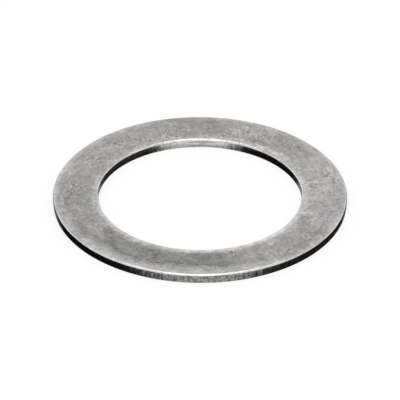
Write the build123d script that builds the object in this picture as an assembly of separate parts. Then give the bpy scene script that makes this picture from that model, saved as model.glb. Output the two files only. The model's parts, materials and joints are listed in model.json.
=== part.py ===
from build123d import *
import os

# A shim ring: one flat steel ring, blanked from strip in a single stroke of a compound die.
# It takes up end play between a bearing and a shoulder, with the shaft through its bore.
# Millimetres. +Z is the ring's axis, the bottom (burr-side) face lies on Z = 0,
# and the origin is the bore's centre on that face.
#
# A compound die cuts the bore and the outside from the same side, so both cut walls have
# the same zones, from the top face down:
#   the die roll, where the sheet is drawn down towards the cut, and the edge that tumbling has rounded;
#   the burnished land, a true cylinder rubbed by the tool;
#   the fracture zone, a slight taper away from the land, where the sheet snapped;
#   the burr edge, rounded by tumbling.

# The ring
OUTER_DIAMETER = 31.9  # nominal 32, less the clearance in its housing
BORE_DIAMETER = 22.1  # nominal 22, plus the clearance on its shaft
THICKNESS = 1.1

# The die roll on the top face, measured from each cut wall inwards and from the top face down
OUTER_ROLL_WIDTH = 1.60
OUTER_ROLL_DEPTH = 0.07
BORE_ROLL_WIDTH = 1.10
BORE_ROLL_DEPTH = 0.06
ROLL_EDGE_RADIUS = 0.25  # where the roll turns down into the land

# The cut walls
FRACTURE_HEIGHT = 0.46  # from the bottom face up to the burnished land
DIE_CLEARANCE = 0.03  # how far the fracture tapers away from the land, at the bottom face
BURR_EDGE_RADIUS = 0.05

OUTER_RADIUS = OUTER_DIAMETER / 2
BORE_RADIUS = BORE_DIAMETER / 2


def cut_wall(wall_radius, roll_width, roll_depth, inwards):
    """One cut wall of the section, from the flat of the top face down to the bottom face.

    inwards is the direction from the wall into the metal: -1 at the outside, +1 at the bore.
    """
    flat_end = (wall_radius + inwards * roll_width, THICKNESS)
    land_top = (wall_radius, THICKNESS - roll_depth)
    land_bottom = (wall_radius, FRACTURE_HEIGHT)
    burr_edge = (wall_radius + inwards * DIE_CLEARANCE, 0)
    roll = TangentArc(flat_end, land_top, tangent=(-inwards, 0))
    land = Line(land_top, land_bottom)
    fracture = Line(land_bottom, burr_edge)
    return flat_end, land_top, burr_edge, [roll, land, fracture]


def ring_section():
    """The ring's section, to the right of the axis: X is the radius and Y the height."""
    outer_flat, outer_top, outer_burr, outer_edges = cut_wall(
        OUTER_RADIUS, OUTER_ROLL_WIDTH, OUTER_ROLL_DEPTH, inwards=-1
    )
    bore_flat, bore_top, bore_burr, bore_edges = cut_wall(
        BORE_RADIUS, BORE_ROLL_WIDTH, BORE_ROLL_DEPTH, inwards=1
    )
    top_face = Line(bore_flat, outer_flat)
    bottom_face = Line(outer_burr, bore_burr)
    section = make_face([top_face, *outer_edges, bottom_face, *bore_edges])
    section = round_corners(section, [outer_top, bore_top], ROLL_EDGE_RADIUS)
    return round_corners(section, [outer_burr, bore_burr], BURR_EDGE_RADIUS)


def round_corners(section, corners, radius):
    """The section with its corners at those points rounded."""
    chosen = [min(section.vertices(), key=lambda v: (Vector(v) - Vector(*c)).length) for c in corners]
    return fillet(chosen, radius)


def shim_ring():
    """The whole ring: its section turned once round the axis."""
    return revolve(Plane.XZ * ring_section(), axis=Axis.Z)


os.makedirs("parts", exist_ok=True)
export_step(shim_ring(), "parts/shim_ring.step")
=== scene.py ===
import json
import math

import bmesh
import bpy
from mathutils import Euler, Matrix, Vector, noise


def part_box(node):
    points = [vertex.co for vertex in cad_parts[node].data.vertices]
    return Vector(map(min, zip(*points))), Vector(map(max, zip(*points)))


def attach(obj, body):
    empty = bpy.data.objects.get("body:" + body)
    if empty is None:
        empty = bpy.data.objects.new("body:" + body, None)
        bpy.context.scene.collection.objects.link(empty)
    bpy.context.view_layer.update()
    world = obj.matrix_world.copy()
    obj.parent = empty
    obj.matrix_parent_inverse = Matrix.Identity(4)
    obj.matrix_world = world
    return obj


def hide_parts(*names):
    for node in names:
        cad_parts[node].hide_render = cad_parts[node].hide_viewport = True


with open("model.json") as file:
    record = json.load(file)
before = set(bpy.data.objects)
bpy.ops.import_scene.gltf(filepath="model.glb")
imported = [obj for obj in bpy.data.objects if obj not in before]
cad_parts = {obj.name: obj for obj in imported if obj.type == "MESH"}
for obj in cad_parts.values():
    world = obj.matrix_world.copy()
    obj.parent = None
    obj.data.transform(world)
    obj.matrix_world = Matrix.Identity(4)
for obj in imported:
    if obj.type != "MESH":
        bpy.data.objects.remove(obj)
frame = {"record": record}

# A shim ring in bare steel, blanked from strip and lying on a pale studio floor.
# Metres. The ring's axis is +Z and its bottom (burr-side) face lies on Z = 0.

MM = 0.001

# The ring's sizes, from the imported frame
MOUNTS = {mount["name"]: mount for mount in frame["record"]["mounts"]}
BORE_RADIUS = MOUNTS["bore"]["dims"]["r_mm"] * MM
RIM_RADIUS = MOUNTS["rim"]["dims"]["r_mm"] * MM
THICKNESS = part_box("shim_ring")[1][2]

# The die roll on the top face, as wide and as deep as the solid's, and the edge it ends in
RIM_ROLL = (1.60 * MM, 0.07 * MM)
BORE_ROLL = (1.10 * MM, 0.06 * MM)
EDGE_RADIUS = 0.25 * MM

# The cut walls
FRACTURE_HEIGHT = 0.46 * MM
DIE_CLEARANCE = 0.03 * MM
BURR_RADIUS = 0.05 * MM

# The ring's steels, in the order of its material slots
FACE, RIM_WALL, BORE_WALL = range(3)

# The upward share of the normal at which each rounded edge passes into its cut wall
RIM_EDGE_END = 0.28
BORE_EDGE_END = 0.05
BURR_EDGE_END = -0.5

# How finely the ring is divided
SECTORS = 60
SECTOR_STEPS = 24
WALL_ROW = 0.08 * MM
FACE_ROW = 0.60 * MM
ROLL_STEPS = 5
EDGE_STEPS = 8
BURR_STEPS = 3
MERGE_DISTANCE = 0.002 * MM

# The tearing of the cut walls, all of it pushed into the metal
DRAG_DEPTH = 0.006 * MM  # upright drag marks of the punch on the land
DRAG_WIDTH = 0.22 * MM
DRAG_STRETCH = 12  # how many times longer than wide
TEAR_DEPTH = 0.022 * MM  # pits and lumps of the fracture
TEAR_SIZE = 0.20 * MM
TEAR_UPRIGHT = 0.6  # how fast they change upright, against round the ring
TEAR_BLEND = 0.05 * MM  # the height over which the land gives way to the fracture
WANDER_HEIGHT = 0.10 * MM  # how far the fracture's upper edge wanders up and down
WANDER_LENGTH = 0.9 * MM
UNTORN_FOOT = 0.02 * MM  # the lowest and the highest parts of a wall stay as they are
UNTORN_TOP = 0.1 * MM


# ---------------------------------------------------------------- the camera

# A long lens, in front of the ring and a little above 30 degrees
CAMERA_LENS = 339.4
CAMERA_DISTANCE = 408 * MM
CAMERA_ELEVATION = math.radians(32.76)
CAMERA_ROLL = math.radians(0.27)
CAMERA_AIM = Vector((0, -1.48 * MM, THICKNESS))


def camera():
    """The camera, in its place and aimed at the ring."""
    data = bpy.data.cameras.new("camera")
    data.sensor_width = 36
    data.lens = CAMERA_LENS
    data.clip_start = 0.01
    data.clip_end = 10
    view = bpy.data.objects.new("camera", data)
    bpy.context.collection.objects.link(view)
    outwards = Vector((0, -math.cos(CAMERA_ELEVATION), math.sin(CAMERA_ELEVATION)))
    view.location = CAMERA_AIM + CAMERA_DISTANCE * outwards
    tilt = Euler((math.pi / 2 - CAMERA_ELEVATION, 0, 0)).to_matrix()
    view.rotation_euler = (tilt @ Matrix.Rotation(CAMERA_ROLL, 3, "Z")).to_euler()
    bpy.context.scene.camera = view


# ---------------------------------------------------------------- the ring's mesh

def arc(bm, start, centre, angle, steps):
    """Draws a round arc of the section from a point, about a centre, and gives its end."""
    swung = bmesh.ops.spin(
        bm, geom=[start], cent=(centre[0], 0, centre[1]), axis=(0, 1, 0), angle=angle, steps=steps,
    )
    return swung["geom_last"][0]


def cut_wall(bm, wall_radius, roll, inwards):
    """Draws one cut wall of the section: the roll, its edge, the land, the fracture and the burr.

    inwards is the direction from the wall into the metal: -1 at the outside, +1 at the bore.
    """
    roll_width, roll_depth = roll
    roll_radius = (roll_width ** 2 + roll_depth ** 2) / (2 * roll_depth)
    slope = math.asin((roll_width - EDGE_RADIUS) / (roll_radius - EDGE_RADIUS))
    roll_centre = (wall_radius + inwards * roll_width, THICKNESS - roll_radius)
    edge_height = roll_centre[1] + (roll_radius - EDGE_RADIUS) * math.cos(slope)
    edge_centre = (wall_radius + inwards * EDGE_RADIUS, edge_height)
    burr_radius = wall_radius + inwards * DIE_CLEARANCE
    burr_centre = (burr_radius + inwards * BURR_RADIUS, BURR_RADIUS)

    flat_end = bm.verts.new((roll_centre[0], 0, THICKNESS))
    edge_top = arc(bm, flat_end, roll_centre, -inwards * slope, ROLL_STEPS)
    land_top = arc(bm, edge_top, edge_centre, -inwards * (math.pi / 2 - slope), EDGE_STEPS)
    land_bottom = bm.verts.new((wall_radius, 0, FRACTURE_HEIGHT))
    burr_top = bm.verts.new((burr_radius, 0, BURR_RADIUS))
    burr_end = arc(bm, burr_top, burr_centre, -inwards * math.pi / 2, BURR_STEPS)
    bm.edges.new((land_top, land_bottom))
    bm.edges.new((land_bottom, burr_top))
    return flat_end, burr_end


def ring_section(bm):
    """The ring's section as a closed line in the XZ plane."""
    rim_flat, rim_burr = cut_wall(bm, RIM_RADIUS, RIM_ROLL, -1)
    bore_flat, bore_burr = cut_wall(bm, BORE_RADIUS, BORE_ROLL, 1)
    bm.edges.new((rim_flat, bore_flat))
    bm.edges.new((rim_burr, bore_burr))


def divide(bm):
    """Divides the section's long lines: finely on the walls, coarsely on the flat faces."""
    for edge in bm.edges[:]:
        run = edge.verts[0].co - edge.verts[1].co
        row = WALL_ROW if abs(run.z) > abs(run.x) else FACE_ROW
        cuts = math.ceil(run.length / row) - 1
        if cuts > 0:
            bmesh.ops.subdivide_edges(bm, edges=[edge], cuts=cuts)


def torn(place):
    """How far a point of a wall is in the fracture: 0 on the land, 1 in the fracture."""
    ragged = noise.fractal(Vector((place.x, place.y, 0)) / WANDER_LENGTH, 0.6, 2.0, 4)
    edge = FRACTURE_HEIGHT + WANDER_HEIGHT * ragged
    return min(1, max(0, (edge - place.z) / TEAR_BLEND + 0.5))


def wall_relief(place, tearing):
    """How deep a point of a wall lies below the true surface."""
    upright = Vector((place.x, place.y, place.z / DRAG_STRETCH)) / DRAG_WIDTH
    drag = max(0, noise.noise(upright)) * DRAG_DEPTH
    lumps = Vector((place.x, place.y, place.z * TEAR_UPRIGHT)) / TEAR_SIZE
    pits = (0.5 + 0.5 * noise.fractal(lumps, 0.8, 2.0, 3)) * TEAR_DEPTH
    return drag * (1 - tearing) + max(0, pits) * tearing


def tear_walls(bm):
    """Gives both cut walls their drag marks and fracture, and notes where the fracture is."""
    layer = bm.verts.layers.float.new("torn")
    for vert in bm.verts:
        radius = math.hypot(vert.co.x, vert.co.y)
        rim_gap = RIM_RADIUS - radius
        bore_gap = radius - BORE_RADIUS
        on_wall = min(rim_gap, bore_gap) <= DIE_CLEARANCE + BURR_RADIUS
        if not on_wall or vert.co.z < UNTORN_FOOT or vert.co.z > THICKNESS - UNTORN_TOP:
            continue
        tearing = torn(vert.co)
        vert[layer] = tearing
        inwards = -1 if rim_gap < bore_gap else 1
        outline = Vector((vert.co.x, vert.co.y, 0)) / radius
        vert.co += outline * (inwards * wall_relief(vert.co, tearing))


def steel_of(face):
    """Which steel a face has: FACE on the flat faces and the rounded top edges, or its own wall's."""
    middle = face.calc_center_median()
    outside = math.hypot(middle.x, middle.y) > (BORE_RADIUS + RIM_RADIUS) / 2
    edge_end = RIM_EDGE_END if outside else BORE_EDGE_END
    if face.normal.z > edge_end or face.normal.z < BURR_EDGE_END:
        return FACE
    return RIM_WALL if outside else BORE_WALL


def turn(bm, angle, steps, copies=False):
    """Turns what is there round the ring's axis: swept into a surface, or set out as copies."""
    bmesh.ops.spin(
        bm, geom=bm.verts[:] + bm.edges[:] + bm.faces[:], cent=(0, 0, 0), axis=(0, 0, 1),
        angle=angle, steps=steps, use_duplicate=copies,
    )


def ring_mesh():
    """The ring: its section turned once round the axis, then torn at its cut walls."""
    bm = bmesh.new()
    ring_section(bm)
    divide(bm)
    sector = 2 * math.pi / SECTORS
    turn(bm, sector, SECTOR_STEPS)
    turn(bm, 2 * math.pi - sector, SECTORS - 1, copies=True)
    bmesh.ops.remove_doubles(bm, verts=bm.verts[:], dist=MERGE_DISTANCE)
    bmesh.ops.recalc_face_normals(bm, faces=bm.faces[:])
    for face in bm.faces:
        face.material_index = steel_of(face)
        face.smooth = True
    tear_walls(bm)
    mesh = bpy.data.meshes.new("steel_ring")
    bm.to_mesh(mesh)
    bm.free()
    return mesh


# ---------------------------------------------------------------- node trees

ROUND_RADIUS = 10 * MM  # the less, the further patterns that run round the ring are drawn out


class Nodes:
    """The node tree of a material or of the world, with short calls for the nodes used here."""

    def __init__(self, owner):
        owner.use_nodes = True
        self.tree = owner.node_tree
        self.tree.nodes.clear()

    def add(self, kind, inputs=None, **settings):
        """A node of that kind. Each input is a plain value, or a socket to link from."""
        node = self.tree.nodes.new("ShaderNode" + kind)
        for name, value in settings.items():
            setattr(node, name, value)
        for name, value in (inputs or {}).items():
            if isinstance(value, bpy.types.NodeSocket):
                self.tree.links.new(value, node.inputs[name])
            else:
                node.inputs[name].default_value = value
        return node

    def place(self, stretch=(1, 1, 1), move=(0, 0, 0)):
        """The point on the object, for a pattern that is stretched, or moved away from the others."""
        inputs = {"Vector": self.add("TexCoord").outputs["Object"], "Location": move, "Scale": stretch}
        return self.add("Mapping", inputs).outputs["Vector"]

    def round_place(self, move=0.0):
        """The point on the object, for a pattern that runs round the ring, moved away from the others."""
        flat = self.vector("MULTIPLY", self.place(), (1, 1, 0))
        turned = self.scale(self.vector("NORMALIZE", flat), ROUND_RADIUS)
        radius = self.measure("LENGTH", flat)
        raised = self.add("CombineXYZ", {"X": move, "Z": radius}).outputs["Vector"]
        return self.vector("ADD", turned, raised)

    def noise(self, at, size, detail=2.0, roughness=0.5, distortion=0.0):
        """Noise about 0.5, with lumps of about that size."""
        inputs = {"Vector": at, "Scale": 1 / size, "Detail": detail, "Roughness": roughness}
        inputs["Distortion"] = distortion
        return self.add("TexNoise", inputs).outputs["Fac"]

    def between(self, value, low, high, to_low=0.0, to_high=1.0, curve="LINEAR", clamp=True):
        """The value's run from low to high, turned into one from to_low to to_high."""
        inputs = {"Value": value, "From Min": low, "From Max": high, "To Min": to_low, "To Max": to_high}
        return self.add("MapRange", inputs, interpolation_type=curve, clamp=clamp).outputs["Result"]

    def swing(self, value, amount, middle=1.0):
        """A noise's value spread about a middle one, by that much for each unit of noise."""
        return self.between(value, 0, 1, middle - amount / 2, middle + amount / 2, clamp=False)

    def math(self, operation, first, second=0.0):
        """One sum on two values."""
        return self.add("Math", {0: first, 1: second}, operation=operation).outputs[0]

    def vector(self, operation, first, second=(0, 0, 0)):
        """One sum on two vectors that gives a vector."""
        return self.add("VectorMath", {0: first, 1: second}, operation=operation).outputs["Vector"]

    def measure(self, operation, first, second=(0, 0, 0)):
        """One sum on two vectors that gives a value."""
        return self.add("VectorMath", {0: first, 1: second}, operation=operation).outputs["Value"]

    def scale(self, first, amount):
        """A vector or a colour multiplied by a value."""
        return self.add("VectorMath", {0: first, "Scale": amount}, operation="SCALE").outputs["Vector"]

    def product(self, *factors):
        """All the factors multiplied."""
        result = factors[0]
        for factor in factors[1:]:
            result = self.math("MULTIPLY", result, factor)
        return result

    def mix(self, share, first, second):
        """Two colours mixed."""
        node = self.add("Mix", data_type="RGBA")
        named = {socket.name: socket for socket in node.inputs if socket.enabled}
        for name, value in (("Factor", share), ("A", first), ("B", second)):
            if isinstance(value, bpy.types.NodeSocket):
                self.tree.links.new(value, named[name])
            else:
                named[name].default_value = value
        return next(socket for socket in node.outputs if socket.enabled)


def tinted(level, warmth=0.0, pinkness=0.0):
    """A grey, warmer (or cooler below 0) and pinker (or greener below 0) by a share of its level."""
    return (level * (1 + pinkness + warmth / 2), level * (1 - pinkness / 2), level * (1 - warmth), 1)


# ---------------------------------------------------------------- materials

FACE_WIDTH = RIM_RADIUS - BORE_RADIUS
FACE_LEVEL = 0.494  # how bright the bare face is

# The face's flat-toned patches: a size in mm, and how much lighter or darker than the rest
PATCHES = (
    (3.2, 0.035),
    (1.6, 0.055),
    (0.9, 0.052),
    (0.5, 0.070),
)

PIT_SPACING = 0.55 * MM

# How much brighter the face is made. On the edges it is partly rubbed by tumbling and partly a painted
# highlight; on the slopes inside them it is a painted highlight; in the bands along rim and bore it is partly
# rubbed and partly a painted highlight. The painted part is uneven round the ring, where it
# stands in for light that the room doesn't give, so it turns with the ring.
EDGE_RUB_AND_SHEEN = 0.16  # on the edges themselves
SLOPE_SHEEN = 0.18  # on the slopes inside them
FRONT_SLOPE_SHEEN = 1.65  # how many times as much on the slopes right in front
RIM_BAND_RUB_AND_SHEEN = (0.02, 0.08)  # in a band along the rim: in the middle, and at the sides
BORE_BAND_RUB_AND_SHEEN = (0.36, 0.08)  # in a band along the bore: in front, and behind

# Headings on the face run once round from here, where no film or painted highlight lies
COVERS_START = math.radians(-145)
COVER_END_FADE = math.radians(5)
COVER_EDGE_FADE = 0.11 * MM
COVER_TINT = 0.6  # how far a film's tint hides the steel's own

# The films, rubbed patches and painted highlights on the face: each one's place, how much it darkens the
# steel, how coarse its grain is, and its tint. A place is a reach round the ring in degrees from
# the front, then a reach across it from the bore, as shares of the face's width.
FILMS_AND_SHEENS = (
    # in front: the dark film, its darker outer edge, the paler band outside it, partly a painted highlight,
    # and a dull spot inside
    ((-52, 14, 0.20, 0.66), 0.31, 0.8, tinted(1, 0.018, -0.012)),
    ((-70, 28, 0.58, 0.73), 0.14, 0.9, tinted(1, 0.006, -0.024)),
    ((-66, 40, 0.76, 1.10), -0.03, 0.8, tinted(1, 0.014, -0.014)),
    ((-32, -8, 0.02, 0.20), 0.10, 1.0, tinted(1, 0.020, -0.010)),
    # at the left: a purplish patch, a smooth one with a cold inner edge, and two paler ones
    ((-106, -79, 0.16, 0.88), 0.10, 1.0, tinted(1, 0.030, 0.046)),
    ((-81, -57, 0.22, 0.83), 0.06, 0.35, tinted(1, 0.046, 0.030)),
    ((-88, -54, 0.06, 0.24), 0.06, 0.8, tinted(1, -0.010, -0.036)),
    ((-130, -84, 0.86, 1.10), -0.05, 0.6, tinted(1, 0.026, -0.006)),
    ((-130, -110, 0.40, 0.70), -0.07, 0.9, tinted(1, 0.030, 0.006)),
    # at the right: the film's end, a paler strip along the bore that is a painted highlight, paler patches, a
    # yellowish one, pink and purple ones, and a round smooth one
    ((30, 72, 0.71, 0.91), 0.12, 1.1, tinted(1, 0.046, 0.012)),
    ((34, 74, -0.10, 0.19), -0.14, 0.8, tinted(1, 0.030, 0.010)),
    ((46, 58, 0.34, 0.72), 0.00, 0.9, tinted(1, 0.084, -0.014)),
    ((64, 96, 0.25, 0.69), -0.20, 0.85, tinted(1, 0.022, 0.020)),
    ((68, 80, 0.14, 0.44), 0.02, 0.9, tinted(1, 0.030, 0.054)),
    ((69, 84, 0.56, 0.96), 0.03, 0.6, tinted(1, -0.070, 0.070)),
    ((92, 124, -0.10, 0.84), -0.14, 0.95, tinted(1, 0.024, -0.008)),
    ((94, 108, 0.68, 0.92), 0.02, 1.5, tinted(1, 0.024, -0.004)),
    ((108, 127, 0.42, 0.80), -0.10, 0.3, tinted(1, 0.026, 0.010)),
    # behind: a rougher patch, a paler one, duller ones, and a polished band along the bore, partly a painted
    # highlight
    ((124, 148, 0.46, 0.90), 0.06, 1.3, tinted(1, 0.030, -0.002)),
    ((148, 170, 0.36, 0.80), -0.08, 1.1, tinted(1, 0.040, 0.034)),
    ((169, 191, 0.08, 1.10), 0.13, 1.0, tinted(1, 0.028, 0.012)),
    ((184, 204, 0.78, 1.10), 0.14, 1.0, tinted(1, 0.030, 0.004)),
    ((122, 176, 0.03, 0.17), -0.23, 0.8, tinted(1, 0.016, 0.004)),
)

# Small nicks, each brightened as a painted glint: degrees round from the front, a share of the face's width
# from the bore, a size in mm, and how bright its painted glint is
NICK_GLINTS = (
    (37, 0.32, 0.28, 0.50),
    (-104, 0.92, 0.30, 0.22),
    (-131, 0.55, 0.35, 0.16),
    (101, 0.60, 0.45, 0.10),
    (170, 0.72, 0.40, 0.16),
)

FACET_HEIGHT = 18.0  # how many times as high as the streaks the cut walls' broad facets stand


def band(nodes, value, low, high, soft):
    """1 between low and high, fading to 0 outside them."""
    rising = nodes.between(value, low - soft, low + soft, curve="SMOOTHSTEP")
    falling = nodes.between(value, high - soft, high + soft, 1.0, 0.0, curve="SMOOTHSTEP")
    return nodes.product(rising, falling)


def face_place(nodes):
    """Where a point lies on the face: its x, y and radius, and its radius and heading made wavy."""
    parts = nodes.add("SeparateXYZ", {"Vector": nodes.place()})
    x, y = parts.outputs["X"], parts.outputs["Y"]
    radius = nodes.math("SQRT", nodes.math("ADD", nodes.product(x, x), nodes.product(y, y)))
    heading = nodes.math("ARCTAN2", x, nodes.product(y, -1.0))
    past_start = nodes.math("FLOORED_MODULO", nodes.math("SUBTRACT", heading, COVERS_START), 2 * math.pi)
    heading = nodes.math("ADD", past_start, COVERS_START)
    waver = nodes.noise(nodes.place(move=(0.02, 0.02, 0)), 3.0 * MM, detail=4, roughness=0.6)
    wavy_radius = nodes.math("ADD", radius, nodes.swing(waver, 2.0 * MM, 0.0))
    wavy_heading = nodes.math("ADD", heading, nodes.swing(waver, 0.6, 0.0))
    return x, y, radius, wavy_radius, wavy_heading


def mottle(nodes):
    """Flat-toned patches with crisp edges, large and small, as the rolls left them."""
    level = 1.0
    for size, share in PATCHES:
        at = nodes.round_place(move=size / 50)
        lumps = nodes.noise(at, size * MM, detail=3, roughness=0.65, distortion=0.8)
        patch = nodes.between(lumps, 0.485, 0.525, 1 - share, 1 + share, curve="SMOOTHSTEP")
        level = nodes.product(level, patch)
    return level


def mill_grain(nodes, coarseness):
    """The strip's grain about a level of 1, as coarse as given and rougher in some places."""
    coarse = nodes.noise(nodes.round_place(move=0.1), 1.0 * MM, detail=4, roughness=0.9)
    fine_place = nodes.place(stretch=(1, 0.75, 1), move=(0, 0, 0.01))
    fine = nodes.noise(fine_place, 0.20 * MM, detail=2, roughness=0.9)
    grain = nodes.math("ADD", nodes.swing(coarse, 1.2, 0.0), nodes.swing(fine, 1.9, 0.0))
    patches = nodes.noise(nodes.place(move=(0.07, 0, 0)), 3.0 * MM, detail=3)
    rougher = nodes.between(patches, 0.42, 0.58, 0.45, 1.5)
    return nodes.math("ADD", nodes.product(grain, rougher, coarseness), 1.0)


def pits(nodes):
    """Tiny dark pits, of uneven depth."""
    spots = nodes.add("TexVoronoi", {"Vector": nodes.place(), "Scale": 1 / PIT_SPACING, "Randomness": 1.0})
    hole = nodes.between(spots.outputs["Distance"], 0.08, 0.24, 1.0, 0.0, curve="SMOOTHSTEP")
    uneven = nodes.add("SeparateXYZ", {"Vector": spots.outputs["Color"]}).outputs["X"]
    depth = nodes.between(uneven, 0.45, 1.0, 0.0, 0.55)
    return nodes.math("SUBTRACT", 1.0, nodes.product(hole, depth))


def edge_rub_and_sheen(nodes, x, y, radius):
    """How much brighter the face is along its edges, the slopes inside them and a band along each: partly
    rubbed by tumbling, partly a painted highlight, stronger in front and at the sides.
    """
    wander = nodes.noise(nodes.place(move=(0, 0.03, 0)), 0.9 * MM, detail=4, roughness=0.7)
    ragged = nodes.swing(wander, 0.9)
    rim_gap = nodes.product(nodes.math("SUBTRACT", RIM_RADIUS, radius), ragged)
    bore_gap = nodes.product(nodes.math("SUBTRACT", radius, BORE_RADIUS), ragged)
    gap = nodes.math("MINIMUM", rim_gap, bore_gap)
    # The edges: partly rubbed, partly a painted highlight
    edges = nodes.between(gap, 0.02 * MM, 0.24 * MM, EDGE_RUB_AND_SHEEN, 0.0)
    # The slopes: a painted highlight ramp, strongest in front
    in_front = nodes.between(y, -0.85 * RIM_RADIUS, -0.5 * RIM_RADIUS, FRONT_SLOPE_SHEEN, 1.0)
    slopes = nodes.product(nodes.between(gap, 0.5 * MM, 1.3 * MM, SLOPE_SHEEN, 0.0), in_front)
    # The bands: partly rubbed, partly a painted highlight, stronger at the rim's sides and in front of the
    # bore
    sideways = nodes.between(nodes.math("ABSOLUTE", x), 0.5 * RIM_RADIUS, RIM_RADIUS, *RIM_BAND_RUB_AND_SHEEN)
    rim_band = nodes.between(rim_gap, 0.25 * MM, 0.8 * MM, 1.0, 0.0, curve="SMOOTHSTEP")
    backwards = nodes.between(y, -0.7 * BORE_RADIUS, 0.2 * BORE_RADIUS, *BORE_BAND_RUB_AND_SHEEN)
    bore_band = nodes.between(bore_gap, 0.50 * MM, 0.85 * MM, 1.0, 0.0, curve="SMOOTHSTEP")
    bands = nodes.math("ADD", nodes.product(rim_band, sideways), nodes.product(bore_band, backwards))
    return nodes.math("ADD", nodes.math("ADD", edges, slopes), bands)


def patch_cover(nodes, radius, heading, place):
    """Where a film or a painted highlight lies: 1 in its place, fading to 0 round it."""
    start, end, inner, outer = place
    round_ring = band(nodes, heading, math.radians(start), math.radians(end), COVER_END_FADE)
    inner_radius = BORE_RADIUS + inner * FACE_WIDTH
    outer_radius = BORE_RADIUS + outer * FACE_WIDTH
    return nodes.product(round_ring, band(nodes, radius, inner_radius, outer_radius, COVER_EDGE_FADE))


def nick(nodes, heading, share, size):
    """Where a nick lies: 1 in its middle, fading to 0 at its ragged edge."""
    angle = math.radians(heading)
    radius = BORE_RADIUS + share * FACE_WIDTH
    centre = (radius * math.sin(angle), -radius * math.cos(angle), THICKNESS)
    shape = nodes.noise(nodes.place(move=(0.03, 0, 0.02)), 0.35 * MM, detail=2)
    reach = nodes.measure("DISTANCE", nodes.place(), centre)
    return nodes.between(nodes.product(reach, nodes.swing(shape, 3.0)), 0.3 * size, size, 1.0, 0.0)


def filmed_and_sheened(nodes, radius, heading, level, coarseness, colour):
    """The steel's level, the coarseness of its grain and its colour, with the films and painted highlights
    laid over them.
    """
    for place, darkness, cover_coarseness, tint in FILMS_AND_SHEENS:
        cover = patch_cover(nodes, radius, heading, place)
        level = nodes.product(level, nodes.between(cover, 0, 1, 1.0, 1 - darkness))
        coarseness = nodes.product(coarseness, nodes.between(cover, 0, 1, 1.0, cover_coarseness))
        colour = nodes.mix(nodes.product(cover, COVER_TINT), colour, tint)
    return level, coarseness, colour


def with_nick_glints(nodes, level):
    """The steel's level, with each nick's painted glint added to it."""
    for heading, share, size, glint in NICK_GLINTS:
        level = nodes.math("ADD", level, nodes.product(nick(nodes, heading, share, size * MM), glint))
    return level


def steel_tints(nodes):
    """The bare steel's colour: warm, with pinkish and greenish clouds."""
    blush = nodes.noise(nodes.place(move=(0.05, 0.02, 0)), 2.0 * MM, detail=1, roughness=0.65)
    warmth = nodes.noise(nodes.place(move=(0.02, 0.06, 0)), 2.0 * MM, detail=2, roughness=0.65)
    warm = nodes.between(warmth, 0.42, 0.58)
    greenish = nodes.mix(warm, tinted(1, 0.036, -0.011), tinted(1, 0.080, -0.004))
    pinkish = nodes.mix(warm, tinted(1, 0.036, 0.031), tinted(1, 0.080, 0.038))
    return nodes.mix(nodes.between(blush, 0.42, 0.58), greenish, pinkish)


def face_steel():
    """The strip's mill finish: satin, grained and pitted, filmed by handling, rubbed along the edges, and
    with painted highlights along the edges and the bore.
    """
    material = bpy.data.materials.new("face_steel")
    nodes = Nodes(material)
    x, y, radius, wavy_radius, wavy_heading = face_place(nodes)
    # Brightening along the edges: partly rubbed by tumbling, partly a painted highlight
    rub_and_sheen = edge_rub_and_sheen(nodes, x, y, radius)
    rolled = nodes.between(wavy_radius, RIM_RADIUS - 1.4 * MM, RIM_RADIUS - 1.0 * MM, curve="SMOOTHSTEP")
    smoothed = nodes.between(rub_and_sheen, 0.15, 0.42, 1.0, 0.25)
    coarseness = nodes.product(nodes.between(rolled, 0, 1, 1.0, 0.55), smoothed)
    level = with_nick_glints(nodes, nodes.math("ADD", rub_and_sheen, 1.0))
    level, coarseness, colour = filmed_and_sheened(
        nodes, wavy_radius, wavy_heading, level, coarseness, steel_tints(nodes)
    )
    # Where brightened, partly rubbed and partly a painted highlight, the colour turns a plainer grey
    colour = nodes.mix(nodes.between(rub_and_sheen, 0.0, 0.6), colour, tinted(1, 0.022, 0.003))
    grain = mill_grain(nodes, coarseness)
    clouds = nodes.noise(nodes.place(move=(0.01, 0, 0)), 5.0 * MM, detail=2, distortion=0.3)
    level = nodes.product(level, grain, mottle(nodes), pits(nodes), nodes.swing(clouds, 0.15), FACE_LEVEL)
    rough = nodes.math("SUBTRACT", nodes.swing(grain, -0.06, 0.36), nodes.product(rub_and_sheen, 0.04))
    bump = nodes.add("Bump", {"Height": grain, "Distance": 0.0006 * MM, "Strength": 1.0})
    shader = nodes.add("BsdfPrincipled", {
        "Base Color": nodes.scale(colour, level), "Metallic": 1.0, "Roughness": rough,
        "Normal": bump.outputs["Normal"],
    })
    nodes.add("OutputMaterial", {"Surface": shader.outputs["BSDF"]})
    return material


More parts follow.
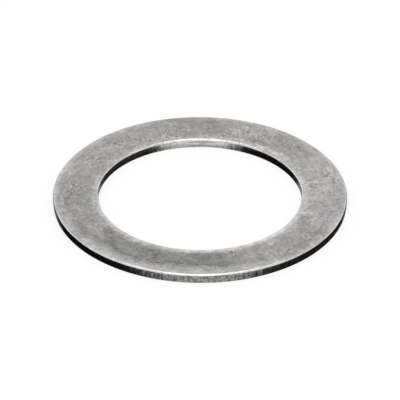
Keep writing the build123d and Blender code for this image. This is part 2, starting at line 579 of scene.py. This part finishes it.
def cut_steel(name, land, fracture, streak, score, roughness, relief):
    """A cut wall's steel: the burnished land above the fracture, each as bright as given.

    streak and score say how strong its upright streaks and the scores round it are, and
    relief how high the streaks stand, in mm, with broad facets under them.
    """
    material = bpy.data.materials.new(name)
    nodes = Nodes(material)
    streaks = nodes.noise(nodes.place(stretch=(1, 1, 0.6)), 0.20 * MM, detail=2, roughness=0.9)
    marks = nodes.noise(nodes.place(stretch=(0.06, 0.06, 1)), 0.26 * MM, detail=1)
    scores = nodes.between(marks, 0.38, 0.46, 1 - score, 1.0)
    tearing = nodes.add("Attribute", attribute_name="torn").outputs["Fac"]
    base = nodes.mix(tearing, tinted(land, 0.02, 0.005), tinted(fracture, 0.03, 0.01))
    swing = 0.3 * streak
    level = nodes.product(nodes.between(streaks, 0.2, 0.8, 1 - swing, 1 + swing), scores)
    facets = nodes.noise(nodes.place(stretch=(1, 1, 0.1), move=(0.06, 0, 0)), 1.3 * MM, detail=2)
    height = nodes.math("ADD", streaks, nodes.product(facets, FACET_HEIGHT))
    bump = nodes.add("Bump", {"Height": height, "Distance": relief * MM, "Strength": 1.0})
    shader = nodes.add("BsdfPrincipled", {
        "Base Color": nodes.scale(base, level), "Metallic": 1.0, "Roughness": roughness,
        "Normal": bump.outputs["Normal"],
    })
    nodes.add("OutputMaterial", {"Surface": shader.outputs["BSDF"]})
    return material


# ---------------------------------------------------------------- the ring

def shim_ring():
    """The finished ring, in place of its plain solid.

    It is one steel, but its rim wall is written darker as painted shade, to stay dark in the pale room.
    """
    mesh = ring_mesh()
    mesh.materials.append(face_steel())
    # The rim wall's low land and fracture levels are painted shade
    mesh.materials.append(cut_steel(
        "rim_wall_painted_shade_steel", land=0.26, fracture=0.26, streak=4.2, score=0.15, roughness=0.24, relief=0.009,
    ))
    mesh.materials.append(cut_steel(
        "bore_wall_steel", land=0.63, fracture=0.43, streak=1.2, score=0.45, roughness=0.20, relief=0.004,
    ))
    ring = bpy.data.objects.new("steel_ring", mesh)
    bpy.context.collection.objects.link(ring)
    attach(ring, "root")
    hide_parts("shim_ring")


# ---------------------------------------------------------------- the studio

FLOOR_GLOW = 0.75  # the share of plain white that the camera sees in the floor
SWEEP_HEADING = (0.05, -1, 0)  # the white sweep stands in front, a little to the right

# How bright each part of the room is
FRONT_SWEEP = 0.95
BACK_SWEEP = 0.4
FLAGS = (0.008, 0.032)  # at the left and at the right
LOW_WALLS = (1.15, 1.5)  # in front and behind, and at the sides
CEILING = 0.66


def floor():
    """A plain white floor under the ring, kept out of what its metal mirrors."""
    bm = bmesh.new()
    bmesh.ops.create_grid(bm, x_segments=1, y_segments=1, size=3)
    mesh = bpy.data.meshes.new("floor")
    bm.to_mesh(mesh)
    bm.free()
    material = bpy.data.materials.new("floor_white")
    nodes = Nodes(material)
    lit = nodes.add("BsdfDiffuse", {"Color": tinted(0.99)}).outputs["BSDF"]
    white = nodes.add("Emission", {"Color": tinted(1.0), "Strength": 1.0}).outputs["Emission"]
    glow = nodes.product(nodes.add("LightPath").outputs["Is Camera Ray"], FLOOR_GLOW)
    shader = nodes.add("MixShader", {0: glow, 1: lit, 2: white})
    nodes.add("OutputMaterial", {"Surface": shader.outputs["Shader"]})
    mesh.materials.append(material)
    ground = bpy.data.objects.new("floor", mesh)
    bpy.context.collection.objects.link(ground)
    ground.visible_glossy = False


def softbox(place, size, radiance):
    """An area lamp that faces straight down, with that radiance over its face."""
    lamp = bpy.data.lights.new("softbox", "AREA")
    lamp.shape = "RECTANGLE"
    lamp.size, lamp.size_y = size
    lamp.energy = radiance * math.pi * size[0] * size[1]
    light = bpy.data.objects.new("softbox", lamp)
    bpy.context.collection.objects.link(light)
    light.location = place


def studio_room():
    """The pale room round the ring, brightest just above the floor at the sides.

    Below the floor's edge a white sweep stands in front, a weaker one behind, and dark
    flags between them.
    """
    world = bpy.data.worlds.new("studio")
    bpy.context.scene.world = world
    nodes = Nodes(world)
    direction = nodes.add("TexCoord").outputs["Generated"]
    parts = nodes.add("SeparateXYZ", {"Vector": direction})
    x, height = parts.outputs["X"], parts.outputs["Z"]
    heading = nodes.vector("NORMALIZE", nodes.vector("MULTIPLY", direction, (1, 1, 0)))
    to_sweep = nodes.measure("DOT_PRODUCT", heading, SWEEP_HEADING)
    front = nodes.between(to_sweep, 0.58, 0.95, 0.0, FRONT_SWEEP, curve="SMOOTHSTEP")
    back = nodes.between(to_sweep, -0.86, -0.99, 0.0, BACK_SWEEP, curve="SMOOTHSTEP")
    flags = nodes.between(x, -0.4, 0.8, *FLAGS)
    below = nodes.math("ADD", nodes.math("ADD", front, back), flags)
    low_walls = nodes.between(nodes.math("ABSOLUTE", x), 0.30, 0.50, *LOW_WALLS)
    above = nodes.between(height, 0.10, 0.48, low_walls, CEILING, curve="SMOOTHSTEP")
    strength = nodes.between(height, -0.02, 0.08, below, above)
    background = nodes.add("Background", {"Color": tinted(1.0), "Strength": strength})
    nodes.add("OutputWorld", {"Surface": background.outputs["Background"]})


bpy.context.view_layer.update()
camera()
studio_room()
softbox(place=(0, -0.31, 0.50), size=(0.50, 1.02), radiance=1.10)
floor()
shim_ring()
bpy.context.scene.view_settings.view_transform = "Standard"
